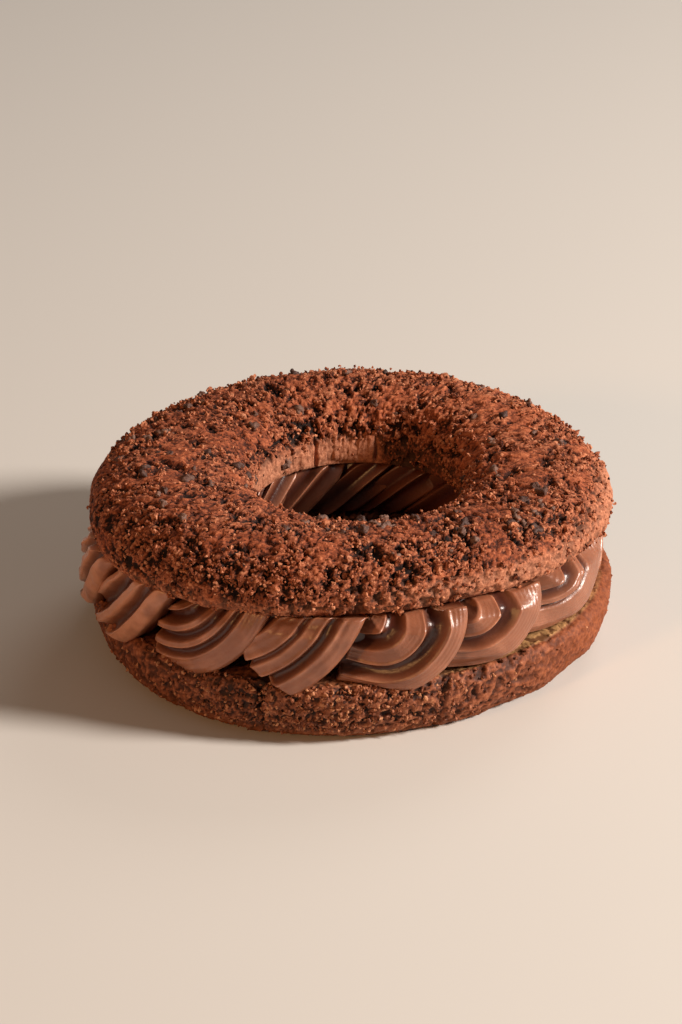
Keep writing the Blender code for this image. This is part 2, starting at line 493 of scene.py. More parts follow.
# Places on the section are shares of the way round it. The flat cut comes first, then the belly,
# the outside up to the crest, the inside down from it and the rim of the hole.
LID_KNOTS = (0.0, 0.05, 0.16, 0.58, 0.92, 1.0)
LID_CUT_EDGE = (0.055, 0.10)  # the skin begins here
LID_RIM_EDGE = (0.96, 0.995)  # and ends here
LID_HOLE_WALL = (0.865, 0.92)  # the wall of the hole begins here
LID_CROWN = ((0.32, 0.46), (0.78, 0.88))
TORN_WALL = ((-10.0, 18.0), (69.0, 75.0))  # the hole's wall is torn between these angles

# Regions of the skin, each by an angle and a place on the section.
LID_LEFT_EDGE = dict(centre=180.0, width=35.0, fall=(0.26, 0.42), strength=0.8)
LID_RIGHT_EDGE = dict(centre=2.0, width=26.0, rise=(0.1, 0.16), fall=(0.22, 0.40), strength=0.9)
LID_LOW_RIGHT = dict(centre=-52.0, width=26.0, fall=(0.19, 0.26))
LID_LOW_FRONT = dict(centre=-90.0, width=75.0, fall=(0.12, 0.17), strength=0.5)
LID_CROWDED = dict(centre=-48.0, width=24.0, rise=(0.24, 0.34), strength=0.1)
LID_COMBED = dict(centre=105.0, width=60.0, fall=(0.62, 0.72))
LID_LOW_BACK = dict(centre=95.0, width=55.0, rise=(0.28, 0.40), fall=(0.66, 0.80), strength=0.8)
LID_LOW_INSIDE = dict(centre=-88.0, width=50.0, rise=(0.52, 0.64), fall=(0.85, 0.95))
LID_RIGHT_BULGE = dict(centre=-6.0, width=24.0, rise=(0.07, 0.13), fall=(0.22, 0.32), strength=0.5)

LID_SWELL = Feature(13.0, 0.55)
LID_KNOB = Feature(1.5, 0.3, 0.22)
LID_GRAIN = Feature(0.62, 0.24, 0.24)
# The shades of these pits and pores are painted shade in the hollows.
LID_PIT = Feature(2.1, 1.15, 0.60, edge=(0.20, 0.38), filled=0.7)
LID_PORE = Feature(1.15, 0.7, 0.5, edge=(0.16, 0.34), filled=0.6)
COMBED_PIT = 2.0  # size of the pits at the back, drawn out round the ring
CROWDING = Feature(6.0, 0.16)  # patches where pits open more easily
DUST = Feature(7.0, 0.0, edge=(0.0, 0.42))
CROWN_DUST = 0.3  # how much more easily dust lies on the crown
DUST_LEVEL = 0.12  # level of the noise under which no dust lies

LEFT_CREASE = ((-175.3, 34.8), (-155.3, 29.6), (-139.6, 26.8), (-136.8, 23.9))
CREASE_WIDTH = 0.8
CREASE_DEPTH = 1.2
CREASE_FROM = (0.3, 0.36)
WALL_CRACKS = ((105.5, 0.8, 1.1), (73.6, 0.8, 1.1), (-150.0, 0.8, 1.1))
WALL_BULGE = ((111.0, 6.0, 0.5),)
# Painted shade in the cracks of the hole's wall and in the left crease.
CRACK_SHADE = 0.4
LID_TONE = 0.60
# Painted light on the lid's right and at its back, painted shade at its back left; each (angle, width,
# paler by).
LID_PAINTED_LIGHT_AND_SHADE = ((36.0, 52.0, 0.11), (100.0, 26.0, 0.07), (142.0, 28.0, -0.05))
# Painted shadow: the torn part of the hole's wall is painted darker.
TORN_WALL_PAINTED_SHADOW = 0.3


def lid_points(angle, share):
    """Smooth shape of the lid, tilted with its flat cut."""
    low = LID_BELLY_HEIGHT
    rise = LID_CREST_HEIGHT - low
    radius, height = arc_section(share, LID_KNOTS, (
        straight((LID_CUT_INSIDE, 0.0), (LID_CUT_OUTSIDE, 0.0)),
        quarter(LID_CUT_OUTSIDE, low, LID_BELLY_RADIUS, low, -90.0),
        quarter(LID_CREST_RADIUS, low, LID_BELLY_RADIUS, rise, 0.0, LID_SQUARENESS),
        quarter(LID_CREST_RADIUS, low, LID_HOLE_RADIUS, rise, 90.0, LID_SQUARENESS),
        quarter(LID_CUT_INSIDE, low, LID_HOLE_RADIUS, low, 180.0)))
    outward = (radius - LID_HOLE_RADIUS) / (LID_BELLY_RADIUS - LID_HOLE_RADIUS)
    radius = radius + outward * uneven(angle, LID_RADIUS_WAVES)
    radius = radius + (1.0 - outward) * uneven(angle, LID_HOLE_WAVES)
    height = height * (1.0 + uneven(angle, LID_HEIGHT_WAVES) / LID_CREST_HEIGHT)
    turn = np.array(LID_TURN.to_matrix())
    offset = np.array([LID_MIDDLE.x - AXIS[0], LID_MIDDLE.y - AXIS[1], LID_MIDDLE.z])
    return polar(radius, angle, height) @ turn.T + offset


def lid_calm(angle, share, hole_wall, torn_wall):
    """Where the skin is smooth: in the hole unless torn, on the right edge and low on the front."""
    right_edge = region(angle, share, **LID_RIGHT_EDGE)
    low_band = region(angle, share, **LID_LOW_RIGHT)
    low_band = np.maximum(low_band, region(angle, share, **LID_LOW_FRONT))
    return np.clip(0.85 * hole_wall - 0.75 * torn_wall + right_edge + 0.7 * low_band, 0.0, 1.0)


def lid_pit_noise(points, bent, angle, share):
    """Noise whose high places become pits. At the back it is drawn out round the ring."""
    off_axis = np.hypot(bent[:, 0], bent[:, 1])
    combed = np.stack([0.5 * off_axis, CREST_LENGTH * angle, 0.6 * bent[:, 2]], axis=-1)
    back = region(angle, share, **LID_COMBED)
    plain = lumps(bent, LID_PIT.size, 2, 17.0) * (1.0 - back)
    return plain + 1.2 * back * lumps(combed, COMBED_PIT, 2, 21.0)


def lid_mesh():
    """The lid, with the numbers its material and its grains read: relief, calm, dusty and rough."""
    mesh = mesh_from(bare_ring(*LID_GRID), "lid_crust")
    angle, share = ring_places(points_of(mesh))
    points = lid_points(angle, share)
    put_points(mesh, points)
    normals = normals_of(mesh)

    skin = smooth(*LID_CUT_EDGE, share) * (1.0 - smooth(*LID_RIM_EDGE, share))
    hole_wall = smooth(*LID_HOLE_WALL, share)
    torn_wall = hole_wall * between(*TORN_WALL, np.degrees(angle))
    calm = lid_calm(angle, share, hole_wall, torn_wall)
    rough = skin * (1.0 - 0.8 * calm) * (1.0 - region(angle, share, **LID_LEFT_EDGE))

    bent = warped(points, 1.6, 0.75)
    broad = lumps(points, LID_SWELL.size, 3)
    knob = lumps(bent, LID_KNOB.size, 2, 33.0)
    fine = lumps(points, LID_GRAIN.size, 2, 5.0)
    crease = np.exp(-(away_from(LEFT_CREASE, bent) / CREASE_WIDTH) ** 2)
    crease = crease * smooth(*CREASE_FROM, share) * (1.0 + 0.8 * knob)
    on_crown = between(*LID_CROWN, share)
    dusty = DUST.opened(lumps(points, DUST.size, 2, 80.0) + CROWN_DUST * on_crown - DUST_LEVEL)
    dusty = dusty * np.clip(1.0 - crease, 0.0, 1.0)
    crowd = CROWDING.height * lumps(points, CROWDING.size, 2, 9.0) + region(angle, share, **LID_CROWDED)
    pits = LID_PIT.opened(lid_pit_noise(points, bent, angle, share) + crowd, dusty)
    small = lumps(warped(points, 0.8, 0.35), LID_PORE.size, 2, 40.0)
    pores = LID_PORE.opened(small + crowd, dusty)
    relief = LID_KNOB.height * knob + LID_GRAIN.height * fine
    relief = relief - LID_PIT.height * pits - LID_PORE.height * pores * (1.0 - pits)
    wander = angle + 0.02 * lumps(points, 2.2, 1, 61.0)
    cracks = (fades(wander, WALL_CRACKS) - fades(angle, WALL_BULGE)) * hole_wall

    move = LID_SWELL.height * broad * skin + (relief + 0.05) * rough + 0.1 * fine * calm * skin
    move = move - (cracks + CREASE_DEPTH * crease) * skin
    move = move - region(angle, share, **LID_LOW_BACK) - region(angle, share, **LID_LOW_INSIDE)
    move = move + region(angle, share, **LID_RIGHT_BULGE)
    put_points(mesh, points + normals * move[:, None])
    # Painted light and shade round the lid, and a painted shadow on the torn wall of the hole.
    tone = LID_TONE + fades(angle, LID_PAINTED_LIGHT_AND_SHADE) - TORN_WALL_PAINTED_SHADOW * torn_wall
    tone = tone + LID_KNOB.shade * knob + LID_GRAIN.shade * fine
    # Painted shade: darker in pits, pores, cracks and the crease.
    tone = tone - LID_PIT.shade * pits - LID_PORE.shade * pores - CRACK_SHADE * (cracks + crease)
    paint(mesh, "dusty", dusty * skin)
    paint(mesh, "relief", tone)
    paint(mesh, "calm", calm)
    paint(mesh, "rough", rough * (1.0 - 0.55 * dusty))
    return mesh


# ---------- choux base

BASE_GRID = (800, 84)  # points round it and round its section
BASE_BELLY_RADIUS = 48.0
BASE_BELLY_HEIGHT = 9.4
BASE_CUT_OUTSIDE = 46.0
BASE_CUT_INSIDE = 21.6
BASE_HOLE_RADIUS = 19.8
BASE_FOOT_OUTSIDE = 42.8
BASE_FOOT_INSIDE = 25.0
BASE_RADIUS_WAVES = ((2, 1.0, 18.0), (3, 0.7, 9.0))

# Places on the section are shares of the way round it. The foot comes first, then the belly, the
# outer rim, the flat cut, the inner rim and the wall of the hole.
BASE_KNOTS = (0.0, 0.05, 0.44, 0.54, 0.80, 0.86, 1.0)
BASE_SKIN = (0.06, 0.14)  # the skin begins here
BASE_CUT = ((0.525, 0.545), (0.795, 0.805))
BASE_LOW_SKIN = (0.22, 0.12)  # the skin is smooth below here
BASE_DARK_FOOT = (0.30, 0.16)  # and darker below here
BASE_LEVEL_FOOT = 0.8  # nothing sticks out below this height

BASE_CALM = ((-15.0, 37.0, 0.85), (-140.0, 22.0, 0.3))
BASE_CRUMB = (-42.0, 34.0)  # angle and width of the place where the cut's crumb shows
BASE_PALER = ((-84.0, 24.0, 0.12),)
BASE_CRACKS = ((-109.0, 0.5, 1.7), (-70.0, 0.5, 0.8), (-131.0, 0.5, 0.7))
# Painted shade in the base's cracks.
BASE_CRACK_SHADE = 0.35
BASE_TONE = 0.56

BASE_SWELL = Feature(11.0, 0.5)
BASE_KNOB = Feature(1.3, 0.24, 0.2)
BASE_GRAIN = Feature(0.62, 0.24, 0.24)
# The shades of these pits and pores are painted shade in the hollows.
BASE_PIT = Feature(1.25, 0.75, 0.5, edge=(0.18, 0.36))
BASE_PORE = Feature(0.95, 0.45, 0.4, edge=(0.2, 0.36))
BASE_CROWDING = Feature(5.0, 0.12)


def base_points(angle, share):
    """Smooth shape of the base."""
    low = BASE_BELLY_HEIGHT
    rise = BASE_TOP - low
    radius, height = arc_section(share, BASE_KNOTS, (
        straight((BASE_FOOT_INSIDE, 0.0), (BASE_FOOT_OUTSIDE, 0.0)),
        quarter(BASE_FOOT_OUTSIDE, low, BASE_BELLY_RADIUS, low, -90.0),
        quarter(BASE_CUT_OUTSIDE, low, BASE_BELLY_RADIUS, rise, 0.0),
        straight((BASE_CUT_OUTSIDE, BASE_TOP), (BASE_CUT_INSIDE, BASE_TOP), 2.0),
        quarter(BASE_CUT_INSIDE, low, BASE_HOLE_RADIUS, rise, 90.0),
        quarter(BASE_FOOT_INSIDE, low, BASE_HOLE_RADIUS, low, 180.0)))
    outward = radius / BASE_BELLY_RADIUS
    return polar(radius + outward * uneven(angle, BASE_RADIUS_WAVES), angle, height)


def base_mesh():
    """The base, with the numbers its material and grains read: relief, calm, crumb, darker, rough."""
    mesh = mesh_from(bare_ring(*BASE_GRID), "base_crust")
    angle, share = ring_places(points_of(mesh))
    points = base_points(angle, share)
    put_points(mesh, points)
    normals = normals_of(mesh)

    cut = between(*BASE_CUT, share)
    wall = smooth(*BASE_SKIN, share) * (1.0 - cut)
    calm = np.clip(fades(angle, BASE_CALM) + smooth(*BASE_LOW_SKIN, share), 0.0, 1.0)
    bent = warped(points, 1.4, 0.6)
    flat = bent * np.array([0.55, 0.55, 1.0])
    broad = lumps(points, BASE_SWELL.size, 2, 4.0)
    knob = lumps(bent, BASE_KNOB.size, 2, 44.0)
    fine = lumps(points, BASE_GRAIN.size, 2, 12.0)
    crowd = BASE_CROWDING.height * lumps(points, BASE_CROWDING.size, 2, 71.0)
    pits = BASE_PIT.opened(lumps(flat, BASE_PIT.size, 2, 31.0) + crowd)
    pores = BASE_PORE.opened(lumps(bent, BASE_PORE.size, 2, 37.0) + crowd)
    relief = BASE_KNOB.height * knob + BASE_GRAIN.height * fine
    relief = relief - BASE_PIT.height * pits - BASE_PORE.height * pores * (1.0 - pits)
    cracks = fades(angle + 0.03 * lumps(points, 3.0, 2, 50.0), BASE_CRACKS)

    move = BASE_SWELL.height * broad + (relief + 0.1) * (1.0 - 0.75 * calm) + 0.1 * fine * calm - cracks
    move = wall * move + cut * (0.2 * fine - 0.3 * pits)
    move = np.where(points[:, 2] < BASE_LEVEL_FOOT, np.minimum(move, 0.0), move)
    points = points + normals * move[:, None]
    points[:, 2] = np.maximum(points[:, 2], 0.0)
    put_points(mesh, points)
    tone = BASE_TONE + fades(angle, BASE_PALER) + BASE_KNOB.shade * knob + BASE_GRAIN.shade * fine
    # Painted shade: darker in pits, pores and cracks.
    tone = tone - BASE_PIT.shade * pits - BASE_PORE.shade * pores - BASE_CRACK_SHADE * cracks
    paint(mesh, "relief", tone)
    paint(mesh, "calm", calm)
    paint(mesh, "crumb", cut * near(angle, *BASE_CRUMB))
    paint(mesh, "darker", 0.75 * smooth(*BASE_DARK_FOOT, share))
    paint(mesh, "rough", wall * (1.0 - 0.8 * calm))
    return mesh


# ---------- piped cream

TURNS = 16
TURN_GRID = (46, 124)  # points along a turn and round its section
FACE_RADIUS = 48.0  # where lengths along the ring are measured
CORE_RADIUS = 43.4  # the rope's own middle lies here
VALLEY_DEPTH = 0.62  # depth of a valley as a share of its width
DISH = 2.6  # how much further out the outermost ridge lies than the innermost
LIP = 0.3  # height of the sharp lip on each edge of a ridge
LIP_WIDTH = 0.016  # as a share of the rope's outer radius
DRAG = 0.04  # height of the fine lines that the nozzle leaves

# A turn's own width along it: it starts narrow, tapers, and closes if it ends in the open.
START_WIDTH = 0.7
START_LENGTH = 0.12
TAPER_LOSS = 0.2
TAPER_FROM = 0.6
CLOSING_LOSS = 0.8
CLOSING_FROM = 0.93
START_DRAWN_BACK = 1.8  # how far the start of a turn lies back, under the turn before it
TUCK_UNDER_LID = 2.2  # how far the cream draws back where it meets the lid
TUCK_DEPTH = (2.6, 0.2)  # millimetres below the lid's cut over which it does
TUCK_AT_RIM = 3.6  # the same where it leaves the base's rim bare, and over what height

CUT_GAP = 0.1  # between the cream and the base's cut
LID_GAP = 0.15  # between the cream and the lid's cut
DROOP = 2.0  # how far the cream hangs over the base's rim
DROOP_RADII = (45.6, 48.2)
RISE = 1.4  # how far it stands up outside the lid's cut
RISE_RADII = (45.0, 47.5)
BARE_RIM = (-42.0, 22.0)  # angle and width of the place where the base's cut shows
# A painted reflection: the crests of the turns here are painted paler.
REFLECTION_PAINTED_TURNS = (-163.0, 22.0)  # angle and width of the place where the crests are paler


class Turn:
    """One turn of the piped rope as it shows on the outer face of the cream."""

    def __init__(self, angle, fan=(-9.2, 7.2), reach=(18.8, 14.8), sweep=(14.0, -108.0), inner=0.06,
                 ridges=((0.12, 0.24), (0.40, 0.56), (0.77, 1.0)), thick=5.0, stand=0.0, tail=3.2,
                 blunt=0.0, slant=0.0):
        self.angle = angle  # middle of the turn round the ring, in degrees
        self.fan = fan  # centre of its arcs: along the ring and up, from the middle
        self.reach = reach  # outer radius of its arcs, along and up
        self.sweep = sweep  # from the top right down to the tail, in degrees
        self.inner = inner  # inner radius of the rope as a share of the outer
        self.ridges = ridges  # first and last radius of each flat ridge, as shares of the outer
        self.thick = thick  # how far it bulges out from its own middle
        self.stand = stand  # how much further out than the others
        self.tail = tail  # how far the tail draws back
        self.blunt = blunt  # 1 where the rope ends in the open
        self.slant = slant  # degrees by which the outer side ends sooner


STRAIGHT = dict(fan=(-30.0, 36.0), reach=(56.5, 56.5), sweep=(-28.0, -65.0), inner=0.69,
                ridges=((0.72, 0.735), (0.785, 0.805), (0.87, 0.90), (0.95, 0.985)), tail=0.3, blunt=1.0,
                slant=9.0)
SHOWN_TURNS = (
    Turn(-29.3, fan=(-9.5, 8.0), reach=(22.0, 14.2), ridges=((0.16, 0.32), (0.47, 0.53), (0.60, 1.0)),
         stand=0.2),
    Turn(-54.6, fan=(-9.5, 7.0), reach=(18.8, 14.0), ridges=((0.27, 0.45), (0.66, 1.0)), stand=0.4),
    Turn(-75.6, fan=(-9.3, 7.2), reach=(19.4, 17.0), ridges=((0.10, 0.22), (0.40, 0.57), (0.79, 1.0)),
         stand=0.3),
    Turn(-102.2, fan=(-17.4, 18.8), reach=(32.6, 32.6), sweep=(-10.0, -69.0), inner=0.47,
         ridges=((0.49, 0.555), (0.59, 0.70), (0.74, 0.81), (0.88, 1.0)), tail=0.4, blunt=1.0, stand=0.6,
         slant=10.0),
    Turn(-123.6, fan=(-11.0, 16.0), reach=(26.4, 26.4), sweep=(-10.0, -94.0), inner=0.44,
         ridges=((0.49, 0.52), (0.62, 0.66), (0.735, 0.77), (0.84, 1.0)), tail=1.0, blunt=0.8, stand=0.2),
    Turn(-152.5, stand=1.6, **STRAIGHT),
    Turn(-172.5, stand=2.2, **STRAIGHT),
)
SET_BACK = ((172.0, 22.0, 3.2), (2.0, 24.0, 1.6))  # where the turns that don't show keep back


def rope_places(points):
    """Share of the rope's length and angle round its section of a bare rope's points.

    Four fifths of the points go to the front of the rope, where the flutes show.
    """
    along = np.clip(np.arctan2(points[:, 1], points[:, 0]) / math.pi, 0.0, 1.0)
    radius = np.hypot(points[:, 0], points[:, 1])
    share = (np.arctan2(points[:, 2], radius - BARE_RADIUS) / (2.0 * math.pi)) % 1.0
    front = 0.8
    side = np.where(share < front, share / front, 1.0 + (share - front) / (1.0 - front)) * math.pi
    return along, side


def soft_floor(height, floor, blend=0.7):
    """Height kept above a floor, with a rounded meeting."""
    return 0.5 * (height + floor + np.sqrt((height - floor) ** 2 + blend ** 2))


def soft_ceiling(height, ceiling, blend=0.7):
    """Height kept below a ceiling, with a rounded meeting."""
    return 0.5 * (height + ceiling - np.sqrt((height - ceiling) ** 2 + blend ** 2))


def cut_height_at(radius, angle):
    """Height of the lid's flat cut above a place on the ring."""
    return lid_cut_height(radius * np.cos(angle), radius * np.sin(angle))


def bare_rim(angle):
    """1 where the cream keeps back from the base's rim and its cut shows."""
    return np.clip(2.0 * near(angle, *BARE_RIM), 0.0, 1.0)


def press_between_cuts(radius, angle, height):
    """Cream stays between the base's cut and the lid's, and may hang a little over the base's rim."""
    hang = DROOP * (1.0 - 0.9 * bare_rim(angle))
    floor = BASE_TOP + CUT_GAP - hang * smooth(*DROOP_RADII, radius)
    ceiling = cut_height_at(radius, angle) - LID_GAP + RISE * smooth(*RISE_RADII, radius)
    return soft_ceiling(soft_floor(height, floor), ceiling)


def flute(turn, share):
    """How deep a place lies between the ridges, 0 to 1, how wide that valley is, and 1 on a lip."""
    knots = [turn.inner]
    phases = [0.5]
    widths = [2.0 * (turn.ridges[0][0] - turn.inner)]
    for (first, last), after in zip(turn.ridges, turn.ridges[1:] + ((None, None),)):
        knots += [first, last]
        phases += [0.0, 0.0]
        widths += [widths[-1], widths[-1]]
        if after[0] is not None:
            widths[-1] = after[0] - last
            knots.append(0.5 * (last + after[0]))
            phases.append(0.5)
            widths.append(after[0] - last)
    deep = np.sin(math.pi * np.interp(share, knots, phases)) ** 0.6
    edges = [edge for ridge in turn.ridges for edge in ridge if edge < 0.97]
    lip = sum(np.exp(-((share - at) / LIP_WIDTH) ** 2) for at in edges)
    return deep, np.interp(share, knots, widths), np.clip(lip, 0.0, 1.0)


def turn_size(turn, along):
    """Width of a turn along it, as a share of its full width."""
    grow = START_WIDTH + (1.0 - START_WIDTH) * smooth(0.0, START_LENGTH, along)
    taper = 1.0 - TAPER_LOSS * smooth(TAPER_FROM, 1.0, along)
    end = 1.0 - CLOSING_LOSS * smooth(CLOSING_FROM, 1.0, along) ** 2
    return grow * (taper * (1.0 - turn.blunt) + end * turn.blunt)


def shape_turn(turn, along, side, wobble):
    """Points of one turn, a fluted rope bent round its fan centre on the ring's face, and its painted
    tone: painted shade in the valleys and painted highlights on the crests and lips.
    """
    middle = 0.5 * (1.0 + turn.inner)
    half = 0.5 * (1.0 - turn.inner)
    size = turn_size(turn, along)
    front = np.clip(np.sin(side), 0.0, 1.0)
    face = smooth(0.0, 0.22, front)
    share = middle + half * np.cos(side)
    outward = (share - turn.inner) / (1.0 - turn.inner)
    deep, width, lip = flute(turn, share)
    mean_reach = 0.5 * (turn.reach[0] + turn.reach[1])

    early = turn.slant * smooth(0.35, 1.0, outward) * along
    notch = turn.blunt * (0.5 - deep) * smooth(0.8, 1.0, along) * 60.0 / mean_reach
    sweep = np.radians(turn.sweep[0] + (turn.sweep[1] - turn.sweep[0]) * along + early - notch)
    spoke = middle + half * size * np.cos(side)
    t = turn.fan[0] + turn.reach[0] * spoke * np.cos(sweep)
    up = turn.fan[1] + turn.reach[1] * spoke * np.sin(sweep)

    sink = VALLEY_DEPTH * width * mean_reach * deep * face * size
    back = -smooth(0.5, 1.0, along) * turn.tail - START_DRAWN_BACK * (1.0 - smooth(0.0, 0.28, along))
    bulge = np.where(np.sin(side) > 0.0, front ** 0.32, 0.7 * np.sin(side))
    drag = DRAG * np.sin(150.0 * share + 9.0 * wobble)
    relief = (DISH * (outward - 0.75) + LIP * lip + drag) * face
    out = turn.stand + back + turn.thick * size * bulge - sink + relief

    radius = CORE_RADIUS + out + wobble
    angle = math.radians(turn.angle) + t / FACE_RADIUS
    half_gap = 0.5 * (cut_height_at(radius, angle) - BASE_TOP)
    below_lid = half_gap - up
    above_base = half_gap + up
    tuck = TUCK_UNDER_LID * smooth(*TUCK_DEPTH, below_lid) * (1.0 - smooth(0.6, 1.0, share)) * face
    radius = radius - tuck
    radius = radius - TUCK_AT_RIM * smooth(TUCK_AT_RIM, 0.0, above_base) * bare_rim(angle) * front
    height = press_between_cuts(radius, angle, BASE_TOP + above_base)
    # The second value is painted tone: painted shade deep in the valleys, painted highlights on the
    # crests and their lips.
    return polar(radius, angle, height), ((1.0 - deep) * (0.85 + 0.15 * along) + 0.3 * lip) * face


def hidden_turns(rng):
    """The turns that the shown ones leave room for, spaced by the same pitch."""
    free = 360.0 - (SHOWN_TURNS[0].angle - SHOWN_TURNS[-1].angle)
    count = TURNS - len(SHOWN_TURNS)
    pitch = free / (count + 1)
    made = []
    for step in range(1, count + 1):
        angle = SHOWN_TURNS[0].angle + pitch * step + rng.uniform(-1.5, 1.5)
        reach = (rng.uniform(18.2, 19.6), rng.uniform(14.0, 15.6))
        first, second = rng.uniform(0.36, 0.42), rng.uniform(0.74, 0.80)
        ridges = ((0.10, 0.2), (first, first + rng.uniform(0.13, 0.18)), (second, 1.0))
        stand = rng.uniform(-0.3, 0.5) - fades(math.radians(angle), SET_BACK)
        made.append(Turn(angle, reach=reach, ridges=ridges, stand=stand))
    return made


def join_shapes(parts, name):
    """One mesh of several meshes, each with its own points and its painted tone of light and shade."""
    whole = bmesh.new()
    whole.verts.layers.float.new("relief")
    for mesh in parts:
        whole.from_mesh(mesh)
        bpy.data.meshes.remove(mesh)
    return mesh_from(whole, name)


def cream_face_mesh():
    """All turns of the rope as they show on the outer face of the cream."""
    rng = random.Random(SEED)
    parts = []
    for number, turn in enumerate(list(SHOWN_TURNS) + hidden_turns(rng)):
        mesh = mesh_from(bare_rope(*TURN_GRID), "turn")
        bare = points_of(mesh)
        along, side = rope_places(bare)
        wobble = 0.22 * lumps(bare, 1.1, 2, number * 3.1)
        points, crest = shape_turn(turn, along, side, wobble)
        put_points(mesh, points)
        # Crests of the turns on the left get a painted reflection.
        paint(mesh, "relief", crest * (1.0 + 0.5 * near(math.radians(turn.angle), *REFLECTION_PAINTED_TURNS)))
        parts.append(mesh)
    return join_shapes(parts, "cream_turns")


STRAND_GRID = (32, 84)  # points along a strand and round its section
STRAND_RADIUS = 23.6  # the strands' middle lies here, on the wall of the hole
STRAND_THICKNESS = 4.2
STRAND_BOW = 2.2  # how far the ends of a strand draw back
STRAND_LEAN = (0.72, 0.69)  # how far it goes round the hole and up for each length along it
HOLE_RADIUS = 21.0  # where lengths round the hole are measured
GROOVES = 3.5  # grooves on a strand's front
GROOVE_DEPTH = 0.38  # as a share of the strand's own radius
HOLLOW = (42.0, 45.0, 2.6)  # angle, width and depth of the place where cream keeps back
# Painted light on the strands here; elsewhere they keep painted shade.
PAINTED_LIGHT_STRANDS = (125.0, 36.0)  # angle and width of the place where the strands are paler


def cream_hole_mesh():
    """The same turns where they climb the wall of the hole."""
    rng = random.Random(SEED + 1)
    parts = []
    for number in range(TURNS):
        mesh = mesh_from(bare_rope(*STRAND_GRID), "strand")
        along, side = rope_places(points_of(mesh))
        centre = math.radians(360.0 / TURNS * (number + rng.uniform(-0.12, 0.12)))
        size = 0.55 + 0.45 * smooth(0.0, 0.2, along) - 0.45 * smooth(0.8, 1.0, along)
        half = rng.uniform(5.0, 5.8)
        groove = np.abs(np.sin(GROOVES * side + rng.uniform(0.0, 1.5))) ** 0.7
        ring = 1.0 - GROOVE_DEPTH * groove
        across = half * size * ring * np.cos(side)
        into = STRAND_THICKNESS * size * ring * np.sin(side)
        run = (along - 0.5) * rng.uniform(21.0, 24.0)
        t = STRAND_LEAN[0] * run + STRAND_LEAN[1] * across
        up = STRAND_LEAN[1] * run - STRAND_LEAN[0] * across
        bow = STRAND_BOW * (2.0 * along - 1.0) ** 2
        radius = STRAND_RADIUS - into + bow + fades(centre, (HOLLOW,))
        angle = centre - t / HOLE_RADIUS
        cut = cut_height_at(radius, angle)
        height = soft_floor(0.5 * (BASE_TOP + cut) + up, BASE_TOP + CUT_GAP)
        put_points(mesh, polar(radius, angle, soft_ceiling(height, cut - LID_GAP)))
        # Painted tone: painted light on the strands round the lit angle, painted shade on the rest and in
        # every groove.
        paint(mesh, "relief", (0.35 + near(centre, *PAINTED_LIGHT_STRANDS)) * (1.0 - groove))
        parts.append(mesh)
    return join_shapes(parts, "cream_strands")


BODY_GRID = (128, 24)  # points round it and round its section
BODY_RADIUS = 33.0  # middle of its section
BODY_HALF_WIDTH = 9.6
BODY_SQUARENESS = 5.0
BODY_GAP = 0.2  # above the base's cut and below the lid's


def cream_core_mesh():
    """Plain body of the cream behind its turns."""
    mesh = mesh_from(bare_ring(*BODY_GRID), "cream_core")
    angle, share = ring_places(points_of(mesh))
    side = share * 2.0 * math.pi
    radius = BODY_RADIUS + BODY_HALF_WIDTH * rounded(np.cos(side), BODY_SQUARENESS)
    radius = radius + fades(angle, (HOLLOW,)) * smooth(33.0, 25.0, radius)
    ceiling = cut_height_at(radius, angle) - BODY_GAP
    floor = BASE_TOP + BODY_GAP
    middle = 0.5 * (floor + ceiling)
    height = middle + (ceiling - floor) * 0.5 * rounded(np.sin(side), BODY_SQUARENESS)
    put_points(mesh, polar(radius, angle, height))
    # Painted with the cream's darkest tone, the painted shade of the voids between the turns.
    paint(mesh, "relief", np.zeros_like(radius))
    return mesh


# ---------- grains, crumbs and lumps


def rough_lump(rng, detail, jag):
    """A small irregular lump about 1 mm across. More jag makes it more broken."""
    lump = bmesh.new()
    bmesh.ops.create_icosphere(lump, subdivisions=detail, radius=0.5)
    shift = rng.uniform(0.0, 90.0)
    for point in lump.verts:
        where = point.co * 2.2 + Vector((shift, 0.0, 0.0))
        point.co *= 1.0 + jag * noise.noise(where) + 0.7 * jag * noise.noise(where * 2.6)
    return mesh_from(lump, "lump")


def spots_on(piece, rng, count, weight, spread=0.25):
    """Places and normals scattered over a piece, in millimetres about the ring's axis."""
    points = points_of(piece.data) / MM - np.array([AXIS[0], AXIS[1], 0.0])
    normals = normals_of(piece.data)
    values = np.empty(len(points), dtype=np.float32)
    piece.data.attributes["rough"].data.foreach_get("value", values)
    radius = np.hypot(points[:, 0], points[:, 1])
    angle = np.arctan2(points[:, 1], points[:, 0])
    chance = np.clip(values - 0.25, 0.0, 1.0) * radius * weight(radius, angle, points)
    chosen = rng.choice(len(points), size=count, p=chance / chance.sum())
    return points[chosen] + rng.normal(0.0, spread, (count, 3)), normals[chosen]


def mixed_tones(rng, count, tones, shares):
    """Tones picked by their shares, each a little off."""
    return rng.choice(tones, count, p=shares) + rng.normal(0.0, 0.05, count)


def scattered(name, shapes, places, normals, sizes, sink, tones, rng):
    """One mesh of many small lumps, each turned its own way and sunk a share of its size."""
    whole = bmesh.new()
    values = []
    for place, normal, size, tone in zip(places, normals, sizes, tones):
        lump = shapes[rng.integers(len(shapes))].copy()
        turn = Vector(rng.normal(size=3)).to_track_quat("Z", "Y").to_matrix().to_4x4()
        stretch = Matrix.Diagonal((*(size * rng.uniform(0.75, 1.2, 3)), 1.0))
        centre = place + normal * size * (0.5 - sink)
        lump.transform(Matrix.Translation(centre) @ turn @ stretch)
        whole.from_mesh(lump)
        values += [tone] * len(lump.vertices)
        bpy.data.meshes.remove(lump)
    mesh = mesh_from(whole, name)
    paint(mesh, "relief", np.array(values))
    return mesh


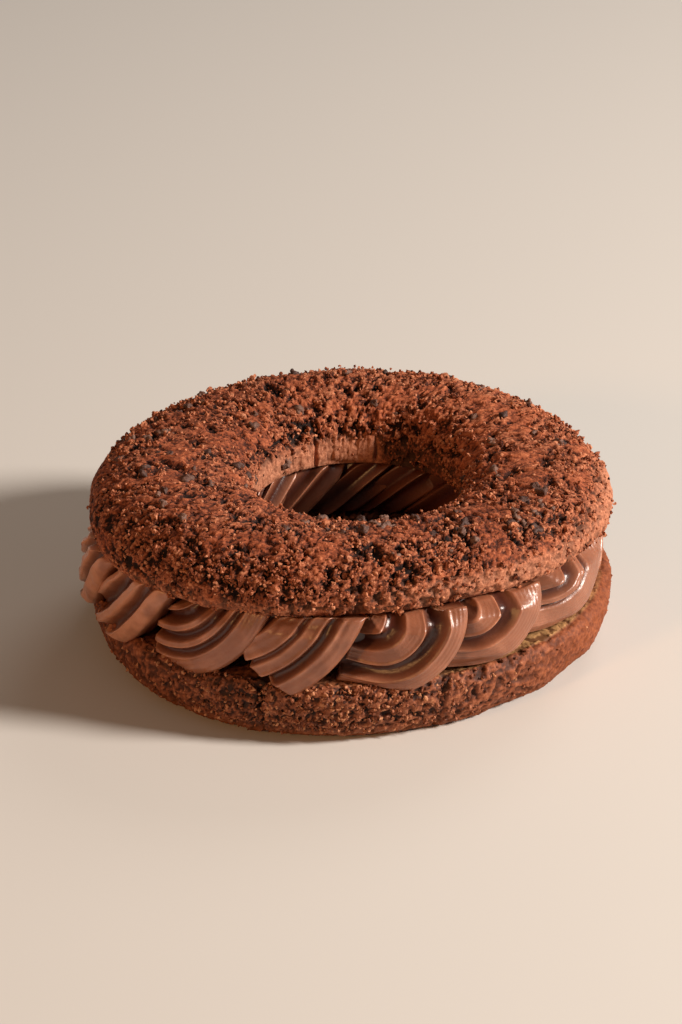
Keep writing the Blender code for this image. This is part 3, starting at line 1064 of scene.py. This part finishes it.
def grains(name, piece, seed, shapes, count, weight, sizes, sink, tones):
    """Lumps over a piece, from shapes (number, detail, jag) and least and greatest sizes in mm."""
    rng = np.random.default_rng(seed)
    number, detail, jag = shapes
    made = [rough_lump(rng, detail, jag) for _ in range(number)]
    places, normals = spots_on(piece, rng, count, weight)
    widths = rng.uniform(*sizes, count)
    return scattered(name, made, places, normals, widths, sink, tones(rng, count), rng)


def lid_grains(lid):
    """Fine dry grains of the craquelin."""
    return grains(
        "lid_grains", lid, SEED, (8, 1, 1.1), 9500, lambda radius, angle, points: 1.0, (0.3, 0.7), 0.66,
        lambda rng, count: mixed_tones(rng, count, (0.35, 0.6, 0.78, 1.0), (0.12, 0.33, 0.33, 0.22)))


def lid_crumbs(lid):
    """Coarser crumbs, lying closer together in some places than in others."""
    def weight(radius, angle, points):
        return smooth(-0.2, 0.5, lumps(points, 6.0, 2, 60.0)) + 0.1

    return grains(
        "lid_crumbs", lid, SEED + 1, (8, 2, 0.95), 800, weight, (0.7, 1.35), 0.6,
        lambda rng, count: mixed_tones(rng, count, (0.45, 0.65, 0.85), (0.2, 0.45, 0.35)))


def lid_nibs(lid):
    """Dark cocoa lumps, thickest on the front and the front right of the crown."""
    def weight(radius, angle, points):
        front = near(angle, -84.0, 18.0) * smooth(38.0, 33.0, radius)
        right = near(angle, -42.0, 20.0) * smooth(31.0, 35.0, radius)
        back = near(angle, 60.0, 40.0) * smooth(35.0, 40.0, radius)
        left = near(angle, 175.0, 30.0)
        thick = 0.25 + 2.2 * front + 2.2 * right + 0.3 * back + 0.5 * left
        return thick * smooth(44.0, 41.5, radius)

    return grains(
        "cocoa_nibs", lid, SEED + 2, (6, 3, 0.65), 120, weight, (1.2, 2.3), 0.7,
        lambda rng, count: rng.uniform(0.0, 1.0, count))


def base_grains(base):
    """Fine grains on the baked wall of the base."""
    def weight(radius, angle, points):
        outer_wall = smooth(40.0, 42.0, radius) * smooth(1.8, 3.2, points[:, 2])
        return outer_wall * (0.03 + near(angle, -99.0, 33.0))

    return grains(
        "base_grains", base, SEED + 3, (6, 1, 1.1), 1900, weight, (0.35, 0.75), 0.66,
        lambda rng, count: rng.uniform(0.4, 0.95, count))


# ---------- floor, light and camera

FLOOR_HALF_SIZE = 3.0  # in metres, like the lamps' places and sizes
SKY = "#fffaf5"
SKY_STRENGTH = 0.11
LIGHTS = (  # name, place, size, watts and colour
    ("key", (0.95, -0.22, 0.55), 0.22, 21.5, "#fff4ea"),
    ("fill", (-0.60, -0.74, 0.42), 0.13, 2.8, "#ffbc76"),
    ("rim", (0.40, 0.72, 0.70), 0.50, 2.0, "#fff6ee"),
)
LIT_PLACE = (0.0, 0.0, 0.02)
CAMERA_RISE = 26.1  # degrees above level
CAMERA_DISTANCE = 0.530  # in metres
FOCAL_LENGTH = 100.0  # in millimetres, like the sensor's width
SENSOR_WIDTH = 36.0
LOOKED_AT = (-1.4, 0.0, 22.7)  # from the foot of the ring's axis, in millimetres


def floor_sheet():
    """Large flat floor under the pastry."""
    sheet = bmesh.new()
    bmesh.ops.create_grid(sheet, x_segments=1, y_segments=1, size=FLOOR_HALF_SIZE)
    floor = bpy.data.objects.new("floor", mesh_from(sheet, "floor"))
    floor.data.materials.append(studio_paper())
    put_in_scene(floor)


def light_up():
    """Faint even light from all round, and three round lamps: key, fill and rim."""
    world = bpy.data.worlds.new("studio")
    world.use_nodes = True
    background = world.node_tree.nodes["Background"]
    background.inputs["Color"].default_value = linear(SKY)
    background.inputs["Strength"].default_value = SKY_STRENGTH
    bpy.context.scene.world = world
    for name, place, size, power, colour in LIGHTS:
        lamp = bpy.data.lights.new(name, "AREA")
        lamp.shape = "DISK"
        lamp.size = size
        lamp.energy = power
        lamp.color = linear(colour)[:3]
        holder = bpy.data.objects.new(name, lamp)
        holder.location = place
        aim = Vector(LIT_PLACE) - holder.location
        holder.rotation_euler = aim.to_track_quat("-Z", "Y").to_euler()
        put_in_scene(holder)


def camera():
    """Camera in front of the pastry, looking down on it."""
    lens = bpy.data.cameras.new("camera")
    lens.lens = FOCAL_LENGTH
    lens.sensor_width = SENSOR_WIDTH
    holder = bpy.data.objects.new("camera", lens)
    rise = math.radians(CAMERA_RISE)
    target = (Vector((AXIS[0], AXIS[1], 0.0)) + Vector(LOOKED_AT)) * MM
    holder.location = target + Vector((0.0, -math.cos(rise), math.sin(rise))) * CAMERA_DISTANCE
    holder.rotation_euler = Euler((math.pi / 2.0 - rise, 0.0, 0.0))
    put_in_scene(holder)
    bpy.context.scene.camera = holder


camera()
floor_sheet()
light_up()
crust = craquelin_crust()
choux = baked_choux()
cream = praline_cream()
nib = cocoa_nib()
lid = make_piece(lid_mesh(), "lid_crust", crust, "crust", "choux_lid")
base = make_piece(base_mesh(), "base_crust", choux, "choux", "choux_base")
make_piece(cream_face_mesh(), "cream_turns", cream, "cream", "cream_filling")
make_piece(cream_hole_mesh(), "cream_strands", cream, "cream")
make_piece(cream_core_mesh(), "cream_core", cream, "cream")
make_piece(lid_grains(lid), "lid_grains", crust, "crust", facets=True)
make_piece(lid_crumbs(lid), "lid_crumbs", crust, "crust", facets=True)
make_piece(lid_nibs(lid), "cocoa_nibs", nib, "crust")
make_piece(base_grains(base), "base_grains", choux, "choux", facets=True)
bpy.context.scene.view_settings.view_transform = "Standard"
